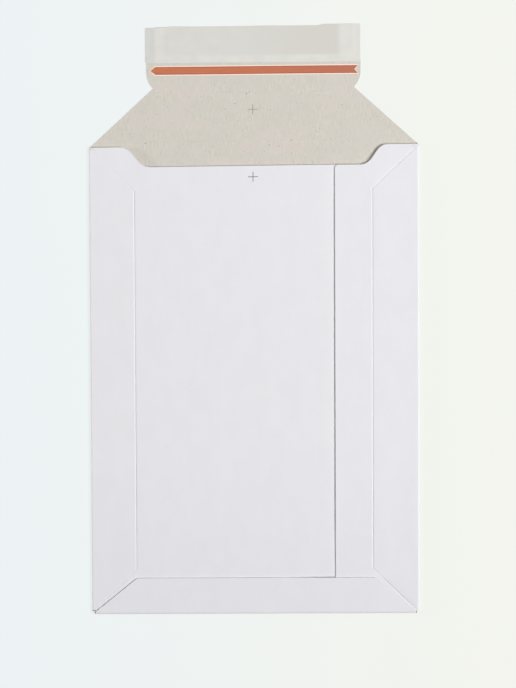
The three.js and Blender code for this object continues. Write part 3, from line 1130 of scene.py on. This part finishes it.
def tape_rim(n, along, off, half):
    """1 on the film's clear margins: beside its red core, past its point and past its notch."""
    share = n.math("DIVIDE", off, half)
    point = n.math("MULTIPLY_ADD", share, TAPE_POINT * MM, (TAPE_LEFT + 0.3) * MM)
    notch = n.math("MULTIPLY_ADD", share, TAPE_NOTCH * MM, (TAPE_RIGHT - 0.5 - TAPE_NOTCH) * MM)
    beside = n.between(off, half * 0.98, half * 1.03)
    rim = n.math("MAXIMUM", beside, past(n, point, along))
    return n.math("MAXIMUM", rim, past(n, along, notch))


def tape_red():
    n = Nodes("tear_tape_red")
    flat = n.blank()
    part = n.split(flat)
    line = n.noise(n.scaled(flat, (90, 3200, 1)), detail=3.0)
    off = n.math("ABSOLUTE", part[1])
    half = TAPE_CORE / 2 * MM
    base = n.waver(line, TAPE_RED, dark=0.95, pale=1.05)
    # Painted shade: the red is painted darker towards the tape's right end
    tape_shade = n.between(part[0], TAPE_SHADE_X[0] * MM, TAPE_SHADE_X[1] * MM)
    base = n.mix(tape_shade, base, linear(TAPE_PAINTED_SHADE))
    base = n.mix(n.between(off, half * 0.74, half * 0.86), base, linear(TAPE_DARK))
    base = n.mix(tape_rim(n, part[0], off, half), base, linear(TAPE_RIM))
    return n.finish(base, 0.42, line, strength=0.2, depth=0.00004, gloss=0.5)


def glue_cream():
    n = Nodes("adhesive_cream")
    lump = n.noise(n.scaled(n.blank(), (500, 500, 1)), detail=3.0)
    base = n.mix(lump, linear(shade(GLUE_CREAM, 0.94)), linear(GLUE_CREAM))
    return n.finish(base, 0.35, lump, strength=0.4, depth=0.0001)


def glue_shows(n, part):
    """1 where the glue lies under the release paper, with a soft border."""
    left = n.between(part[0], (GLUE["left"] - 2) * MM, (GLUE["left"] + 2) * MM)
    right = n.between(part[0], (GLUE["right"] + 2) * MM, (GLUE["right"] - 2) * MM)
    low = n.between(part[1], (GLUE["low"] - 1) * MM, (GLUE["low"] + 1) * MM)
    return n.math("MULTIPLY", n.math("MULTIPLY", left, right), low)


def liner_white():
    n = Nodes("release_liner_paper")
    flat = n.blank()
    part = n.split(flat)
    cloud = n.noise(n.scaled(flat, (120, 160, 1)), detail=4.0)
    base = n.waver(cloud, LINER_WHITE, dark=0.985, pale=1.012)
    band = glue_shows(n, part)
    base = n.tint(base, band, 0.5, shade(LINER_WHITE, 0.965))
    dull = n.between(part[0], LINER_DULL_X[0] * MM, LINER_DULL_X[1] * MM)
    base = n.mix(n.math("MULTIPLY", band, dull), base, linear(LINER_DULL))
    # Painted shade: the paper's left end, which overhangs the lip and tilts away, is painted darker
    tab_shade = n.between(part[0], LINER_TAB_SHADE_X[0] * MM, LINER_TAB_SHADE_X[1] * MM)
    base = n.tint(base, tab_shade, 0.8, LINER_TAB_PAINTED_SHADE)
    bump = n.noise(n.scaled(flat, (500, 300, 1)), detail=4.0)
    return n.finish(base, 0.48, bump, strength=0.15, depth=0.0001, gloss=0.4)


def floor_pale():
    n = Nodes("table_pale")
    place = n.node("ShaderNodeTexCoord").outputs["Object"]
    turn = n.between(n.split(place)[0], -FLOOR_TURN, FLOOR_TURN)
    base = n.mix(turn, linear(FLOOR_LEFT), linear(FLOOR_RIGHT))
    away = n.node("ShaderNodeVectorMath", operation="LENGTH")
    n.put(away.inputs[0], place)
    far = n.between(away.outputs["Value"], FLOOR_FADE[0], FLOOR_FADE[1])
    base = n.mix(far, base, linear(FLOOR_RIGHT))
    fine = n.noise(n.scaled(place, (900, 900, 900)), detail=2.0)
    n.finish(base, 0.9, fine, strength=0.05, depth=0.00005, gloss=0.1)
    even = n.node("ShaderNodeEmission")
    n.put(even.inputs["Color"], base)
    seen = n.node("ShaderNodeLightPath").outputs["Is Camera Ray"]
    even_share = n.math("MULTIPLY_ADD", far, 1 - FLOOR_EVEN, FLOOR_EVEN)
    blend = n.node("ShaderNodeMixShader")
    n.put(blend.inputs[0], n.math("MULTIPLY", seen, even_share))
    n.put(blend.inputs[1], n.shader.outputs[0])
    n.put(blend.inputs[2], even.outputs[0])
    n.put(n.tree.nodes["Material Output"].inputs["Surface"], blend.outputs[0])
    return n.material


def dress(piece, *materials):
    for material in materials:
        piece.data.materials.append(material)


# Table, light and camera


def make_floor():
    stations = np.linspace(-FLOOR_HALF, FLOOR_HALF, FLOOR_CELLS + 1) / MM
    x, y = np.meshgrid(stations, stations, indexing="xy")
    points = np.stack([x.ravel(), y.ravel(), np.full(x.size, FLOOR_LEVEL)], 1)
    faces = grid_faces(FLOOR_CELLS + 1, FLOOR_CELLS + 1).tolist()
    floor = mesh_object("table_top", points, faces, [0] * len(faces), points[:, :2])
    dress(floor, floor_pale())


# Lamps: turn from the right-hand side and height in degrees, distance and size in metres, watts
LAMPS = {
    "soft_key": (-15.0, 50.0, 4.2, 1.8, 163.0),
    "soft_fill": (75.0, 42.0, 0.85, 0.5, 1.25),
}
LOW_BEAM = (176.0, 9.0, 3.0, 0.4, 170.0)
BEAM_ANGLE = 18.0
BEAM_BLEND = 0.6
SKY_LEVEL = 0.10


def disc_light(name, size):
    data = bpy.data.lights.new(name, "AREA")
    data.shape = "DISK"
    data.size = size
    return data


def beam_light(name, size):
    data = bpy.data.lights.new(name, "SPOT")
    data.shadow_soft_size = size / 2
    data.spot_size = math.radians(BEAM_ANGLE)
    data.spot_blend = BEAM_BLEND
    return data


def place_lamp(data, turn, height, distance, watts):
    data.energy = watts
    lamp = bpy.data.objects.new(data.name, data)
    a, b = math.radians(turn), math.radians(height)
    way = Vector((math.cos(a) * math.cos(b), math.sin(a) * math.cos(b), math.sin(b)))
    lamp.location = way * distance
    lamp.rotation_mode = "QUATERNION"
    lamp.rotation_quaternion = (-way).to_track_quat("-Z", "Y")
    bpy.context.scene.collection.objects.link(lamp)


def make_lamps():
    for name, (turn, height, distance, size, watts) in LAMPS.items():
        place_lamp(disc_light(name, size), turn, height, distance, watts)
    turn, height, distance, size, watts = LOW_BEAM
    place_lamp(beam_light("low_beam", size), turn, height, distance, watts)


def make_sky():
    world = bpy.data.worlds.new("soft_sky")
    world.use_nodes = True
    nodes, links = world.node_tree.nodes, world.node_tree.links
    light = nodes["Background"]
    light.inputs["Color"].default_value = (1, 1, 1, 1)
    light.inputs["Strength"].default_value = SKY_LEVEL
    seen = nodes.new("ShaderNodeBackground")
    seen.inputs["Color"].default_value = linear(FLOOR_RIGHT)
    seen.inputs["Strength"].default_value = 1.0
    path = nodes.new("ShaderNodeLightPath")
    most = nodes.new("ShaderNodeMath")
    most.operation = "MAXIMUM"
    links.new(path.outputs["Is Camera Ray"], most.inputs[0])
    links.new(path.outputs["Is Transmission Ray"], most.inputs[1])
    share = nodes.new("ShaderNodeMath")
    share.operation = "MAXIMUM"
    links.new(most.outputs[0], share.inputs[0])
    links.new(path.outputs["Is Glossy Ray"], share.inputs[1])
    blend = nodes.new("ShaderNodeMixShader")
    links.new(share.outputs[0], blend.inputs[0])
    links.new(light.outputs[0], blend.inputs[1])
    links.new(seen.outputs[0], blend.inputs[2])
    links.new(blend.outputs[0], nodes["World Output"].inputs["Surface"])
    bpy.context.scene.world = world


def make_camera():
    data = bpy.data.cameras.new("camera")
    data.sensor_width = SENSOR
    data.lens = FOCAL_PIXELS * SENSOR / IMAGE_HEIGHT
    camera = bpy.data.objects.new("camera", data)
    camera.location = CAMERA_PLACE
    camera.rotation_euler = Euler(CAMERA_TURN, "XYZ")
    bpy.context.scene.collection.objects.link(camera)
    bpy.context.scene.camera = camera


def make_mailer():
    white, grey, cut = white_board(), grey_board(), cut_edge()
    pocket = pocket_sheet()
    dress(pocket, white, grey, cut)
    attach(pocket, "pack")
    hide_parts("envelope_body")

    flap = flap_sheet()
    dress(flap, white, grey, cut)
    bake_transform(flap)
    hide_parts("closure_flap")

    for piece, look, node, slot in (
        (tape_film(), tape_red(), "tear_tape", "tear_tape"),
        (glue_band(), glue_cream(), "adhesive_strip", "adhesive"),
        (liner_paper(), liner_white(), "release_liner", "liner_paper"),
    ):
        dress(piece, look, look, look)
        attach(piece, "flap")
        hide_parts(node)


bpy.context.scene.view_settings.view_transform = "Standard"
make_camera()
make_lamps()
make_sky()
make_floor()
make_mailer()

bpy.context.view_layer.update()
